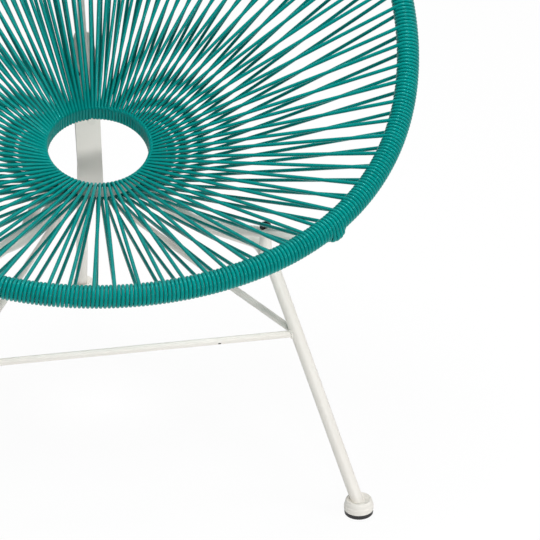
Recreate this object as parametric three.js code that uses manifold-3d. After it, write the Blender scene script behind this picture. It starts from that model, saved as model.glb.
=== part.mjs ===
// Acapulco chair: a pear-shaped steel rim and a small ring strung with plastic cord,
// on a three-legged base of bent tubes. Millimetres, +Z up, the seat faces -Y.
import * as THREE from 'three';
import Module from 'manifold-3d';
import { mergeVertices } from 'three/addons/utils/BufferGeometryUtils.js';

const wasm = await Module();
wasm.setup();

// General
const clearance = 0.3;
const overrun = 4;
const tubeSides = 12;
const bendStep = 0.26;

// Rim centre line, drawn from the middle of its front lip: a pear-shaped loop that climbs to the back
const rimHalfWidth = 382.6;
const rimPear = 7.5;
const rimHalfDepth = 298.4;
const rimBluntness = 16.8;
const rimLipHeight = 362;
const rimRiseDepth = 500;
const rimStraightRise = 160.5;
const rimCurvedRise = 227.8;
const rimTube = 20;

// Ring at the bottom of the seat: a flat bar on edge, bent into a hoop
const ringRadius = 70.8;
const ringBar = { thick: 3, height: 16.4 };
const ringBehindLip = 397;
const ringHeight = 361.7;
const ringTilt = 21.8 * Math.PI / 180;

// Cord: wound round the rim, and strung in loops between the rim and the ring
const cord = 4.2;
const loopCount = 90;
const sectorCount = 15;
const wrapSides = 8;
const strandSides = 3;
const strandRadius = 2.6;
const strandRimOffset = 5.4;
const strandStop = 9.5;
const ribDepth = 0.9;
const strandOffset = 6.7;
const strandRingGap = 2.3;
const rimBoresPerSector = 3;
const ringPieces = 3;
const ringStepsPerPiece = 10;
const ringCordRound = 1.8;

// Arms and spine, welded to the rim and to the ring
const armTube = 14;
const armRimAngle = 0.62;
const armShoulder = { across: 207, behindLip: 130, drop: 14 };
const armOverBow = { across: 178, behindLip: 185, drop: 29 };
const armWaist = { across: 144, behindLip: 222, drop: 39 };
const armLowPoint = { across: 111, behindLip: 266, drop: 49 };
const armNearRing = { across: 76, behindLip: 334, drop: 50 };
const armRingAngle = 0.8;
const armSteps = 18;
const spineTube = 10;
const spineRadius = 11;
const spineBehindRing = 19.7;
const spineUnderRing = 19.8;
const spineFootDrop = 14.3;
const spineFootReach = 38;
const cordToSpine = 9.5;

// Base: bow and front legs, rear leg, strap and stretchers
const baseTube = 16;
const legFoot = { across: 273, behindLip: 39, height: 0 };
const legTop = { across: 185, behindLip: 166, height: 297 };
const legRadius = 22;
const legToBowWeld = 30;
const bowShoulder = { across: 178, behindLip: 226, height: 298 };
const bowShoulderRadius = 60;
const bowWaist = { across: 104, behindLip: 352, height: 276 };
const bowWaistRadius = 120;
const bowRearCorner = { across: 68, behindLip: 504, height: 251 };
const bowRearRadius = 28;
const rearFootBehindLip = 695;
const rearLegTopDrop = 12;
const stretcherTube = 9;
const stretcherHeight = 216;
const rearStretcherBehindLip = 607;
const vent = { across: 111, length: 4, width: 2.4, depth: 3 };
const strap = { width: 33, thick: 5, bendHeight: 372, taperHeight: 440, topHeight: 470, topWidth: 18 };

// Feet
const footCup = 37;
const footCupHeight = 26;
const footShoulderHeight = 16;
const footPad = 33;
const footPadHeight = 8;
const footPadStandOut = 3;
const footSeatHeight = 12;
const footPadBevel = 1;
const footSides = 20;

// Fasteners
const frontBolt = { shank: 8, head: 13, headHeight: 5, socket: 5, socketDepth: 2.6 };
const saddleWasher = { outer: 14, rise: 3.2 };
const frontNut = { across: 13, height: 6.5 };
const rearBolt = { shank: 5, head: 8.4, headHeight: 3.6, socket: 3, socketDepth: 1.8 };
const rearBoltAcross = 11;
const rearBoltHeight = 420;
const rearNut = { across: 8, height: 4 };
const spineTab = { width: 33, height: 22, thick: 3 };
const threadProud = 2;
const boltSides = 12;
const spacerOuter = 15;

const frameIvory = new THREE.MeshStandardMaterial({ color: 0xeeeae2, roughness: 0.45, metalness: 0.1 });
const cordTeal = new THREE.MeshStandardMaterial({ color: 0x009089, roughness: 0.25, metalness: 0 });
const padBlack = new THREE.MeshStandardMaterial({ color: 0x19191c, roughness: 0.8, metalness: 0 });
const boltBlack = new THREE.MeshStandardMaterial({ color: 0x141414, roughness: 0.3, metalness: 0.6 });

const v = (x, y, z) => new THREE.Vector3(x, y, z);
const up = v(0, 0, 1);
const mirrorX = (p) => v(-p.x, p.y, p.z);
const place = (p) => v(p.across, p.behindLip, p.height);
const underLip = (p) => v(p.across, p.behindLip, rimLipHeight - p.drop);
const bothSides = [['right', (p) => p.clone()], ['left', mirrorX]];

// Closed surface from rings of points: sides between rings, and a flat cap at each end unless it closes up
function skin(rings, loop = false) {
  const count = rings[0].length;
  const index = [];
  const spans = loop ? rings.length : rings.length - 1;
  for (let i = 0; i < spans; i++) {
    for (let j = 0; j < count; j++) {
      const a = i * count + j;
      const b = i * count + (j + 1) % count;
      const c = ((i + 1) % rings.length) * count + j;
      const d = ((i + 1) % rings.length) * count + (j + 1) % count;
      index.push(a, b, d, a, d, c);
    }
  }
  const end = (rings.length - 1) * count;
  for (let j = 1; !loop && j < count - 1; j++) {
    index.push(0, j + 1, j);
    index.push(end, end + j, end + j + 1);
  }
  const geometry = new THREE.BufferGeometry();
  const positions = rings.flat().flatMap((p) => [p.x, p.y, p.z]);
  geometry.setAttribute('position', new THREE.Float32BufferAttribute(positions, 3));
  geometry.setIndex(index);
  return geometry;
}

// Ring of points round a centre: the first one lies on the given side, ahead is the path's direction
function section(centre, ahead, side, radius, sides) {
  const across = side.clone().addScaledVector(ahead, -side.dot(ahead)).normalize();
  const other = ahead.clone().cross(across).normalize();
  return Array.from({ length: sides }, (_, i) => {
    const turn = 2 * Math.PI * i / sides;
    return centre.clone()
      .addScaledVector(across, radius * Math.cos(turn))
      .addScaledVector(other, radius * Math.sin(turn));
  });
}

// Points along straight runs, with a rounded bend at each inner corner
function bentPath(corners, bends) {
  const path = [corners[0]];
  for (let i = 1; i < corners.length - 1; i++) {
    const back = corners[i - 1].clone().sub(corners[i]).normalize();
    const on = corners[i + 1].clone().sub(corners[i]).normalize();
    const half = back.angleTo(on) / 2;
    const middle = back.clone().add(on).normalize();
    const centre = corners[i].clone().addScaledVector(middle, bends[i - 1] / Math.sin(half));
    const start = corners[i].clone().addScaledVector(back, bends[i - 1] / Math.tan(half)).sub(centre);
    const axis = start.clone().cross(back).normalize().negate();
    const steps = Math.ceil((Math.PI - 2 * half) / bendStep);
    for (let s = 0; s <= steps; s++) {
      path.push(centre.clone().add(start.clone().applyAxisAngle(axis, (Math.PI - 2 * half) * s / steps)));
    }
  }
  path.push(corners[corners.length - 1]);
  return path;
}

// Round bar or tube along a path, with one side vector carried along so that its sides stay aligned
function tube(path, diameter) {
  let side = v(1, 0, 0);
  return skin(path.map((p, i) => {
    const a = path[Math.max(i - 1, 0)];
    const b = path[Math.min(i + 1, path.length - 1)];
    const ahead = p.clone().sub(a).normalize().add(b.clone().sub(p).normalize()).normalize();
    if (i === 0 && Math.abs(ahead.x) > 0.9) side = up.clone();
    side = side.clone().addScaledVector(ahead, -side.dot(ahead)).normalize();
    return section(p, ahead, side, diameter / 2, tubeSides);
  }));
}

const straight = (from, to, diameter) => tube([from, to], diameter);

function toSolid(geometry) {
  const bare = geometry.clone();
  bare.deleteAttribute('normal');
  bare.deleteAttribute('uv');
  const merged = mergeVertices(bare, clearance / 1000);
  return new wasm.Manifold(new wasm.Mesh({
    numProp: 3,
    vertProperties: new Float32Array(merged.getAttribute('position').array),
    triVerts: new Uint32Array(merged.index.array),
  }));
}

function toGeometry(solid) {
  const mesh = solid.getMesh();
  const geometry = new THREE.BufferGeometry();
  geometry.setAttribute('position', new THREE.BufferAttribute(new Float32Array(mesh.vertProperties), 3));
  geometry.setIndex(new THREE.BufferAttribute(new Uint32Array(mesh.triVerts), 1));
  return geometry;
}

const less = (solid, tools) => tools.reduce((left, tool) => left.subtract(toSolid(tool)), solid);
const cut = (body, tools) => toGeometry(less(toSolid(body), tools));
const common = (a, b) => toGeometry(toSolid(a).intersect(toSolid(b)));
const joined = (bodies) => toGeometry(bodies.map(toSolid).reduce((all, body) => all.add(body)));
const outer = (solid) => solid.decompose().sort((a, b) => b.volume() - a.volume())[0];
const moved = (point, axis, length) => point.clone().addScaledVector(axis, length);
const drill = (point, axis, diameter, reach) =>
  straight(moved(point, axis, -reach), moved(point, axis, reach), diameter);

const chair = new THREE.Group();
const chairFrame = new THREE.Group();
chair.add(chairFrame);

function add(name, geometry, material) {
  const mesh = new THREE.Mesh(geometry, material);
  mesh.name = name;
  chairFrame.add(mesh);
}

// Rim centre line by angle: 0 at the lip, pi at the top of the back
function rimPoint(angle) {
  const x = rimHalfWidth * Math.sin(angle) + rimPear * Math.sin(2 * angle);
  const y = rimHalfDepth * (1 - Math.cos(angle)) + rimBluntness * (1 - Math.cos(2 * angle));
  const back = y / rimRiseDepth;
  return v(x, y, rimLipHeight + rimStraightRise * back + rimCurvedRise * back * back);
}

// Lengths along the rim at even steps of angle, so that the loops can be spaced evenly
const rimSteps = 720;
const rimLengths = [0];
for (let i = 1; i <= rimSteps; i++) {
  const from = rimPoint(2 * Math.PI * (i - 1) / rimSteps);
  rimLengths.push(rimLengths[i - 1] + from.distanceTo(rimPoint(2 * Math.PI * i / rimSteps)));
}
const rimLength = rimLengths[rimSteps];
const loopPitch = rimLength / loopCount;

function rimAngleAt(length) {
  const wanted = ((length % rimLength) + rimLength) % rimLength;
  let i = 0;
  while (rimLengths[i + 1] < wanted) i++;
  const part = (wanted - rimLengths[i]) / (rimLengths[i + 1] - rimLengths[i]);
  return 2 * Math.PI * (i + part) / rimSteps;
}

// Ring by angle: 0 at its front, out from the middle of the bar, and up along the ring's axis
function ringPoint(turn, out = 0, rise = 0) {
  const along = -(ringRadius + out) * Math.cos(turn);
  return v((ringRadius + out) * Math.sin(turn),
    ringBehindLip + along * Math.cos(ringTilt) - rise * Math.sin(ringTilt),
    ringHeight + along * Math.sin(ringTilt) + rise * Math.cos(ringTilt));
}

// Where loop k meets the rim and the ring: the place, the direction along the bar, and towards the other end
const smallTurn = 0.001;

function rimStation(k) {
  const angle = rimAngleAt(k * loopPitch);
  const centre = rimPoint(angle);
  const ahead = rimPoint(angle + smallTurn).sub(rimPoint(angle - smallTurn)).normalize();
  return { centre, ahead, inward: ringPoint(2 * Math.PI * k / loopCount).sub(centre) };
}

function ringStation(k) {
  const turn = 2 * Math.PI * k / loopCount;
  const centre = ringPoint(turn);
  const ahead = ringPoint(turn + smallTurn).sub(ringPoint(turn - smallTurn)).normalize();
  return { centre, ahead };
}

const rimRing = (k, radius) => {
  const { centre, ahead, inward } = rimStation(k);
  return section(centre, ahead, inward, radius, wrapSides);
};
const ringRing = (k, corners) =>
  corners.map(([out, rise]) => ringPoint(2 * Math.PI * k / loopCount, out, rise));
const bar = (out, inward, rise) => [[out, -rise], [-inward, -rise], [-inward, rise], [out, rise]];

const rimWrapRadius = rimTube / 2 + cord;
const ringOut = ringBar.thick / 2;
const ringRise = ringBar.height / 2;
const cordRise = ringRise + clearance + cord;
const cordInward = ringOut + clearance + cord;
const loopsPerSector = loopCount / sectorCount;
const even = (count) => Array.from({ length: count }, (_, i) => i);

// Bore of a winding, run on past both ends so that it cuts clean through
function boreAlong(ringAt, stationAt, first, loops, spans, radius) {
  const rings = even(spans + 1).map((i) => ringAt(first + loops * i / spans, radius));
  const start = stationAt(first).ahead;
  const end = stationAt(first + loops).ahead;
  return skin([
    rings[0].map((p) => moved(p, start, -overrun)),
    ...rings,
    rings[spans].map((p) => moved(p, end, overrun)),
  ]);
}

// Winding on the rim: one rib for each loop, with a valley where two ribs meet
function rimWinding(first) {
  const seam = clearance / 2 / loopPitch;
  const rings = [rimRing(first + seam, rimWrapRadius - ribDepth)];
  for (const i of even(loopsPerSector)) {
    const last = i === loopsPerSector - 1;
    rings.push(rimRing(first + i + 0.5, rimWrapRadius));
    rings.push(rimRing(first + i + 1 - (last ? seam : 0), rimWrapRadius - ribDepth));
  }
  return skin(rings);
}

// Winding on the ring, where every loop goes over the bar, down its inside and back under it
function ringWinding(first, loops) {
  const seam = clearance * loopCount / (4 * Math.PI * ringRadius);
  const corners = [
    [ringOut, -cordRise],
    [ringCordRound - cordInward, -cordRise], [-cordInward, ringCordRound - cordRise],
    [-cordInward, cordRise - ringCordRound], [ringCordRound - cordInward, cordRise],
    [ringOut, cordRise],
  ];
  return skin(even(ringStepsPerPiece + 1).map((i) =>
    ringRing(first + seam + (loops - 2 * seam) * i / ringStepsPerPiece, corners)));
}

// One strand of loop k, over or under the bars: clear of the ring's winding and sunk into the rim's
function strand(k, over) {
  const rim = rimStation(k);
  const ring = ringStation(k);
  const line = rim.centre.clone().sub(ring.centre).normalize();
  const raised = line.clone().cross(rim.ahead).normalize();
  if (raised.dot(v(0, ringBehindLip, rimLipHeight + rimStraightRise).sub(rim.centre)) < 0) raised.negate();
  if (!over) raised.negate();
  const ringSide = over ? cordRise - cord / 2 : cord / 2 - cordRise;
  const ringEnd = ringPoint(2 * Math.PI * k / loopCount, ringOut + strandRingGap, ringSide);
  const rimEnd = moved(moved(rim.centre, raised, strandRimOffset), line, -strandStop);
  const aside = over ? strandOffset / 2 : -strandOffset / 2;
  return skin([ringEnd, moved(rimEnd, rim.ahead, aside)]
    .map((p) => section(p, line, raised, strandRadius, strandSides)));
}

// Base: bow under the seat, and the front legs that its ends bend down into
const onLegLine = (height) => place(legFoot).lerp(place(legTop), height / legTop.height);
const bowSide = place(bowShoulder).sub(place(legTop)).normalize();
const bowStart = moved(place(legTop), bowSide, legToBowWeld);
const footTop = onLegLine(footSeatHeight);
const legPath = bentPath([footTop, place(legTop), bowStart], [legRadius]);
const bowEnd = moved(bowStart, bowSide, clearance);
const bowHalf = [bowEnd, place(bowShoulder), place(bowWaist), place(bowRearCorner)];
const bowPath = bentPath([...bowHalf, ...bowHalf.map(mirrorX).reverse()], [
  bowShoulderRadius, bowWaistRadius, bowRearRadius, bowRearRadius, bowWaistRadius, bowShoulderRadius,
]);
const bowRoom = tube(bowPath, baseTube + 2 * clearance);

// Arms: from under the rim's sides, over the bow at its bolts, to the underside of the ring
const armRimEnd = moved(rimPoint(armRimAngle), up, -(rimTube / 2 + clearance + armTube / 2));
const armRingEnd = moved(ringPoint(armRingAngle, 0, -ringRise), up, -(clearance + armTube / 2));
const armPath = new THREE.CatmullRomCurve3([
  armRimEnd,
  ...[armShoulder, armOverBow, armWaist, armLowPoint, armNearRing].map(underLip),
  armRingEnd,
], false, 'centripetal').getPoints(armSteps);
const armRooms = bothSides.map(([, side]) => tube(armPath.map(side), armTube + 2 * clearance));

// The front bolts stand where the arm crosses over the bow
const boltBase = moved(place(legTop), bowSide, armOverBow.behindLip - legTop.behindLip);
const boltFoot = v((boltBase.x + armOverBow.across) / 2, armOverBow.behindLip, boltBase.z);
const boltHead = v(boltFoot.x, boltFoot.y, underLip(armOverBow).z);
const frontHole = (side) => drill(side(boltFoot), up, frontBolt.shank + 2 * clearance, rimLipHeight / 2);

add('seat_bow', cut(tube(bowPath, baseTube), bothSides.map(([, side]) => frontHole(side))), frameIvory);
for (const [name, side] of bothSides) {
  const leg = tube(legPath.map(side), baseTube);
  const legRoom = tube(legPath.map(side), baseTube + 2 * clearance);
  const armRoom = tube(armPath.map(side), armTube + 2 * clearance);
  add(`front_leg_${name}`, cut(leg, [frontHole(side)]), frameIvory);
  add(`arm_${name}`, cut(tube(armPath.map(side), armTube), [frontHole(side)]), frameIvory);
  const spacer = straight(side(boltFoot), side(boltHead), spacerOuter);
  add(`spacer_${name}`, cut(spacer, [armRoom, legRoom, frontHole(side)]), frameIvory);
}

// Spine: a rod behind the cords from the ring to the top of the rim
const ringBack = ringPoint(Math.PI);
const rimTop = rimPoint(Math.PI);
const backLow = ringBack.clone().add(v(0, spineBehindRing, -spineUnderRing));
const backLine = rimTop.clone().sub(backLow).normalize();
const behind = backLine.clone().cross(v(1, 0, 0)).normalize();
if (behind.y < 0) behind.negate();
const spineTop = moved(rimTop, behind, rimTube / 2 + clearance + spineTube / 2);
const spineLow = moved(backLow, behind, cordToSpine + spineTube / 2);
const spineRise = spineTop.z - spineLow.z;
const spineAt = (height) => spineLow.clone().lerp(spineTop, (height - spineLow.z) / spineRise);
const spineFootHeight = ringBack.z - spineFootDrop;
const spineCorner = spineAt(spineFootHeight);
const spinePath = bentPath([
  v(0, spineCorner.y - spineFootReach, spineFootHeight), spineCorner, spineTop,
], [spineRadius]);
const spineRoom = tube(spinePath, spineTube + 2 * clearance);
add('spine', tube(spinePath, spineTube), frameIvory);

// Rear bolts hold the spine's tab to the strap; all three lie along the spine
const spineAhead = spineTop.clone().sub(spineLow).normalize();
const tabFront = moved(spineAt(rearBoltHeight), behind, spineTube / 2 + clearance);
const strapFront = moved(tabFront, behind, spineTab.thick + clearance);
const rearHole = ([, side]) => drill(side(moved(strapFront, v(1, 0, 0), rearBoltAcross)), behind,
  rearBolt.shank + 2 * clearance, footCup);

// Flat bar along points in the plane of symmetry, as thick as given behind them
function flatBar(points, width, thick) {
  const outline = [...points, ...points.map((p) => moved(p, behind, thick)).reverse()];
  return skin([width / 2, -width / 2].map((x) => outline.map((p) => v(x, p.y, p.z))));
}

const tabEnds = [-spineTab.height / 2, spineTab.height / 2].map((z) => moved(tabFront, spineAhead, z));
add('spine_tab', cut(flatBar(tabEnds, spineTab.width, spineTab.thick), bothSides.map(rearHole)), frameIvory);

// Strap: stands on the rear of the bow, bends to the spine's lean and narrows to a rounded top
const strapAt = (height) => moved(strapFront, spineAhead, (height - strapFront.z) / spineAhead.z);
const bowRear = v(0, bowRearCorner.behindLip, bowRearCorner.height);
const strapSide = flatBar([
  v(0, bowRear.y - strap.thick / 2, bowRear.z), strapAt(strap.bendHeight), strapAt(strap.topHeight),
], strap.width, strap.thick);
const strapFace = new THREE.Shape();
strapFace.moveTo(-strap.width / 2, 0);
strapFace.lineTo(strap.width / 2, 0);
strapFace.lineTo(strap.width / 2, strap.taperHeight);
strapFace.quadraticCurveTo(strap.width / 2, (strap.taperHeight + strap.topHeight) / 2,
  strap.topWidth / 2, strap.topHeight - clearance);
strapFace.lineTo(-strap.topWidth / 2, strap.topHeight - clearance);
strapFace.quadraticCurveTo(-strap.width / 2, (strap.taperHeight + strap.topHeight) / 2,
  -strap.width / 2, strap.taperHeight);
const strapOutline = new THREE.ExtrudeGeometry(strapFace, {
  depth: 2 * rimHalfDepth, bevelEnabled: false, curveSegments: 5,
}).rotateX(Math.PI / 2).translate(0, 2 * rimHalfDepth + footCup, 0);
add('back_strap', cut(common(strapSide, strapOutline), [bowRoom, ...bothSides.map(rearHole)]), frameIvory);

// Rear leg: straight from its foot to the back of the strap, cut off level below the bolts
const rearStretcherEnd = v(0, rearStretcherBehindLip, stretcherHeight);
const rearFoot = v(0, rearFootBehindLip, 0);
const onRearLeg = (height) => rearFoot.clone().lerp(rearStretcherEnd, height / stretcherHeight);
const rearLeg = straight(onRearLeg(footSeatHeight), onRearLeg(strap.topHeight), baseTube);
const strapRoom = flatBar([strapAt(0), strapAt(strap.bendHeight), strapAt(2 * strap.topHeight)]
  .map((p) => moved(p, behind, -footCup)), 2 * strap.width, strap.thick + footCup + clearance);
const aboveLeg = new THREE.BoxGeometry(2 * strap.topHeight, 4 * strap.topHeight, strap.topHeight)
  .translate(0, 0, rearBoltHeight - rearLegTopDrop + strap.topHeight / 2);
add('rear_leg', cut(rearLeg, [strapRoom, aboveLeg]), frameIvory);

// Cords, in sectors: the winding on the rim with the strands that leave it, up to the ring's winding
const closedRing = (count, ringAt, radius) =>
  skin(even(count).map((i) => ringAt(i * loopCount / count - 0.5, radius)), true);
const barRings = ringPieces * ringStepsPerPiece;
const spineAndArms = [spineRoom, ...armRooms];
for (const s of even(sectorCount)) {
  const first = s * loopsPerSector - 0.5;
  const strands = even(loopsPerSector).flatMap((i) => {
    const k = s * loopsPerSector + i;
    return [strand(k, true), strand(k, false)];
  });
  const hoopRoom = rimTube / 2 + clearance;
  const bore = boreAlong(rimRing, rimStation, first, loopsPerSector, rimBoresPerSector, hoopRoom);
  const whole = toSolid(joined([rimWinding(first), ...strands]));
  add(`cord_sector_${String(s + 1).padStart(2, '0')}`,
    toGeometry(outer(less(whole, [bore, ...spineAndArms]))), cordTeal);
}
for (const i of even(ringPieces)) {
  const loops = loopCount / ringPieces;
  const first = i * loops - 0.5;
  const room = bar(overrun, ringOut + clearance, ringRise + clearance);
  const bore = boreAlong(ringRing, ringStation, first, loops, ringStepsPerPiece, room);
  add(`ring_winding_${i + 1}`, cut(ringWinding(first, loops), [bore, ...spineAndArms]), cordTeal);
}
add('rim_hoop', closedRing(sectorCount * rimBoresPerSector, rimRing, rimTube / 2), frameIvory);
add('ring_band', closedRing(barRings, ringRing, bar(ringOut, ringOut, ringRise)), frameIvory);

// Stretchers: a triangle of thin tubes that ties the legs together
const frontJoint = onLegLine(stretcherHeight);
const legRooms = bothSides.map(([, side]) =>
  straight(side(place(legFoot)), side(place(legTop)), baseTube + 2 * clearance));
const rearRoom = straight(rearFoot, onRearLeg(2 * stretcherHeight - clearance), baseTube + 2 * clearance);
const rearTubeRoom = 4 * baseTube;
const ventHole = new THREE.BoxGeometry(vent.length, vent.width, 2 * vent.depth)
  .translate(vent.across, frontJoint.y, frontJoint.z - stretcherTube / 2);
const between = (from, to, rooms) =>
  toGeometry(outer(less(toSolid(straight(from, to, stretcherTube)), rooms)));
add('stretcher_front', cut(between(mirrorX(frontJoint), frontJoint, legRooms), [ventHole]), frameIvory);
for (const [name, side] of bothSides) {
  const otherHalf = new THREE.BoxGeometry(rearTubeRoom, rearTubeRoom, rearTubeRoom)
    .translate(side(v(clearance / 2 - rearTubeRoom / 2, 0, 0)).x, rearStretcherEnd.y, rearStretcherEnd.z);
  const rooms = [...legRooms, rearRoom, otherHalf];
  add(`stretcher_${name}`, between(side(frontJoint), rearStretcherEnd, rooms), frameIvory);
}

// Feet: a domed cup on each leg, with a rubber pad under it
const turned = (points, sides) =>
  new THREE.LatheGeometry(points.map(([r, z]) => new THREE.Vector2(r, z)), sides).rotateX(Math.PI / 2);
const cupProfile = [
  [0, footPadHeight + clearance],
  [footPad / 2 + clearance, footPadHeight + clearance],
  [footPad / 2 + clearance, footPadStandOut],
  [footCup / 2, footPadStandOut],
  [footCup / 2, footShoulderHeight],
  [footCup * 0.46, (footShoulderHeight + footCupHeight) / 2],
  [footCup * 0.34, footCupHeight],
  [0, footCupHeight],
];
const padProfile = [
  [0, 0],
  [footPad / 2 - footPadBevel, 0],
  [footPad / 2, footPadBevel],
  [footPad / 2, footPadHeight],
  [0, footPadHeight],
];
const feet = [
  ['front_right', footTop, onLegLine(stretcherHeight)],
  ['front_left', mirrorX(footTop), mirrorX(onLegLine(stretcherHeight))],
  ['rear', onRearLeg(footSeatHeight), rearStretcherEnd],
];
for (const [name, seat, above] of feet) {
  const direction = above.clone().sub(seat).normalize();
  const socket = straight(moved(seat, direction, -clearance), above, baseTube + 2 * clearance);
  const cup = turned(cupProfile, footSides).translate(seat.x, seat.y, 0);
  add(`foot_cup_${name}`, cut(cup, [socket]), frameIvory);
  add(`foot_pad_${name}`, turned(padProfile, footSides).translate(seat.x, seat.y, 0), padBlack);
}

// Fasteners, drawn standing on their seats along +Z
function boltShape(bolt, grip) {
  const body = turned([
    [0, -grip],
    [bolt.shank / 2, -grip],
    [bolt.shank / 2, 0],
    [bolt.head / 2, 0],
    [bolt.head / 2, bolt.headHeight / 2],
    [bolt.head / 3, bolt.headHeight],
    [0, bolt.headHeight],
  ], boltSides);
  const socket = new THREE.CylinderGeometry(bolt.socket / 2, bolt.socket / 2, 2 * bolt.socketDepth, 6)
    .rotateX(Math.PI / 2).translate(0, 0, bolt.headHeight);
  return cut(body, [socket]);
}

function nutShape(nut, shank) {
  const corner = nut.across / 2 / Math.cos(Math.PI / 6);
  const body = new THREE.CylinderGeometry(corner, corner, nut.height, 6).rotateX(Math.PI / 2);
  const bore = drill(v(0, 0, 0), up, shank + 2 * clearance, nut.height);
  return cut(body, [bore]).translate(0, 0, nut.height / 2);
}

const standing = (geometry, point, axis) => geometry
  .applyQuaternion(new THREE.Quaternion().setFromUnitVectors(up, axis))
  .translate(point.x, point.y, point.z);

for (const [name, side] of bothSides) {
  const washerTop = moved(boltHead, up, armTube / 2 + saddleWasher.rise);
  const headSeat = side(moved(washerTop, up, clearance));
  const nutSeat = side(moved(boltFoot, up, -baseTube / 2 - clearance - frontNut.height));
  const grip = headSeat.z - nutSeat.z + threadProud;
  const washer = straight(side(boltHead), side(washerTop), saddleWasher.outer);
  add(`front_bolt_${name}`, standing(boltShape(frontBolt, grip), headSeat, up), boltBlack);
  add(`saddle_washer_${name}`, cut(washer, [...armRooms, frontHole(side)]), boltBlack);
  add(`front_nut_${name}`, standing(nutShape(frontNut, frontBolt.shank), nutSeat, up), boltBlack);
}

for (const [name, side] of bothSides) {
  const stack = spineTab.thick + strap.thick + 3 * clearance;
  const headSeat = moved(moved(tabFront, behind, -clearance), side(v(1, 0, 0)), rearBoltAcross);
  const nutSeat = moved(headSeat, behind, stack);
  const bolt = boltShape(rearBolt, stack + rearNut.height + threadProud);
  add(`rear_bolt_${name}`, standing(bolt, headSeat, behind.clone().negate()), boltBlack);
  add(`rear_nut_${name}`, standing(nutShape(rearNut, rearBolt.shank), nutSeat, behind), boltBlack);
}

// Origin on the floor, midway between the front of the lip and the back of the rear foot
const frontReach = -rimWrapRadius;
const rearReach = onRearLeg(footSeatHeight).y + footCup / 2;
chairFrame.position.y = -(frontReach + rearReach) / 2;
chair.updateMatrixWorld(true);

export default chair;
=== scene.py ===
import math

import bmesh
import bpy
from mathutils import Matrix, Quaternion, Vector


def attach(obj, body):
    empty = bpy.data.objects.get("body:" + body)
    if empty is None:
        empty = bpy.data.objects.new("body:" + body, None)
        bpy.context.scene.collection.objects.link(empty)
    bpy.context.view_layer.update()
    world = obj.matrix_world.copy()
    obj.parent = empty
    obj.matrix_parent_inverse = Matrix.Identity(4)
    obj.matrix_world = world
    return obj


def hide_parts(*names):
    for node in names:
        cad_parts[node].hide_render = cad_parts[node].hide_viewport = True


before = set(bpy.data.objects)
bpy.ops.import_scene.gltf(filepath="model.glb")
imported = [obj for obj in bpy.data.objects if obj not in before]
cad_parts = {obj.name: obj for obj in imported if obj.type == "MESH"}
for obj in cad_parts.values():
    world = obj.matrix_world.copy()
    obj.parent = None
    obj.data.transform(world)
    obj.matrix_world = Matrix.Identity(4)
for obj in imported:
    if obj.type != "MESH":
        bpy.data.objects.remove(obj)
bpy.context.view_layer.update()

mm = 0.001
lipY = -347.2  # where the middle of the rim's front lip stands, in the part's frame
up = Vector((0, 0, 1))

# Camera

photoCamera = {
    "place": (-0.3937, -3.5782, 2.111),
    "yaw": 0.1679,  # radians towards +X
    "down": 0.4863,
    "roll": -0.01503,
    "lens": 209.87,
}


def placeCamera():
    yaw, down, roll = photoCamera["yaw"], photoCamera["down"], photoCamera["roll"]
    level = Vector((math.sin(yaw), math.cos(yaw), 0))
    right = Vector((math.cos(yaw), -math.sin(yaw), 0))
    ahead = level * math.cos(down) - up * math.sin(down)
    above = level * math.sin(down) + up * math.cos(down)
    cameraX = right * math.cos(roll) + above * math.sin(roll)
    cameraY = above * math.cos(roll) - right * math.sin(roll)
    data = bpy.data.cameras.new("photoCamera")
    data.sensor_width = 36
    data.lens = photoCamera["lens"]
    camera = bpy.data.objects.new("photoCamera", data)
    bpy.context.scene.collection.objects.link(camera)
    turned = Matrix((cameraX, cameraY, -ahead)).transposed().to_4x4()
    camera.matrix_world = Matrix.Translation(photoCamera["place"]) @ turned
    bpy.context.scene.camera = camera


placeCamera()
print("camera placed")

# Materials


class Value:
    def __init__(self, sheet, socket):
        self.sheet, self.socket = sheet, socket

    def __add__(self, other): return self.sheet.maths("ADD", self, other)
    def __radd__(self, other): return self.sheet.maths("ADD", other, self)
    def __mul__(self, other): return self.sheet.maths("MULTIPLY", self, other)
    def __rmul__(self, other): return self.sheet.maths("MULTIPLY", other, self)


class Sheet:
    def __init__(self, name):
        self.material = bpy.data.materials.new(name)
        self.material.use_nodes = True
        self.nodes = self.material.node_tree.nodes
        self.links = self.material.node_tree.links
        self.shader = self.nodes["Principled BSDF"]

    def add(self, kind, settings=None, sockets=None, output=0):
        node = self.nodes.new(kind)
        for key, value in (settings or {}).items():
            setattr(node, key, value)
        for key, value in (sockets or {}).items():
            self.feed(node.inputs[key], value)
        return Value(self, node.outputs[output])

    def feed(self, socket, value):
        if isinstance(value, Value):
            self.links.new(value.socket, socket)
        else:
            socket.default_value = value

    def maths(self, operation, first, second):
        return self.add("ShaderNodeMath", {"operation": operation}, {0: first, 1: second})

    def finish(self, **sockets):
        for key, value in sockets.items():
            self.feed(self.shader.inputs[key.replace("_", " ")], value)

    def place(self):
        return self.add("ShaderNodeTexCoord", output="Object")

    def grain(self, scale, detail=3.0, roughness=0.5, place=None):
        sockets = {"Vector": place or self.place(), "Scale": scale, "Detail": detail, "Roughness": roughness}
        return self.add("ShaderNodeTexNoise", {"noise_dimensions": "3D"}, sockets)

    def spread(self, value, low, high):  # stretches a noise value to 0..1 between two limits
        settings = {"interpolation_type": "SMOOTHSTEP"}
        return self.add("ShaderNodeMapRange", settings, {"Value": value, "From Min": low, "From Max": high})

    def blend(self, factor, first, second):
        settings = {"data_type": "RGBA", "blend_type": "MIX"}
        return self.add("ShaderNodeMix", settings, {0: factor, 6: first, 7: second}, output=2)

    def bump(self, height, strength, distance):
        return self.add("ShaderNodeBump", None, {"Height": height, "Strength": strength, "Distance": distance})


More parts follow.
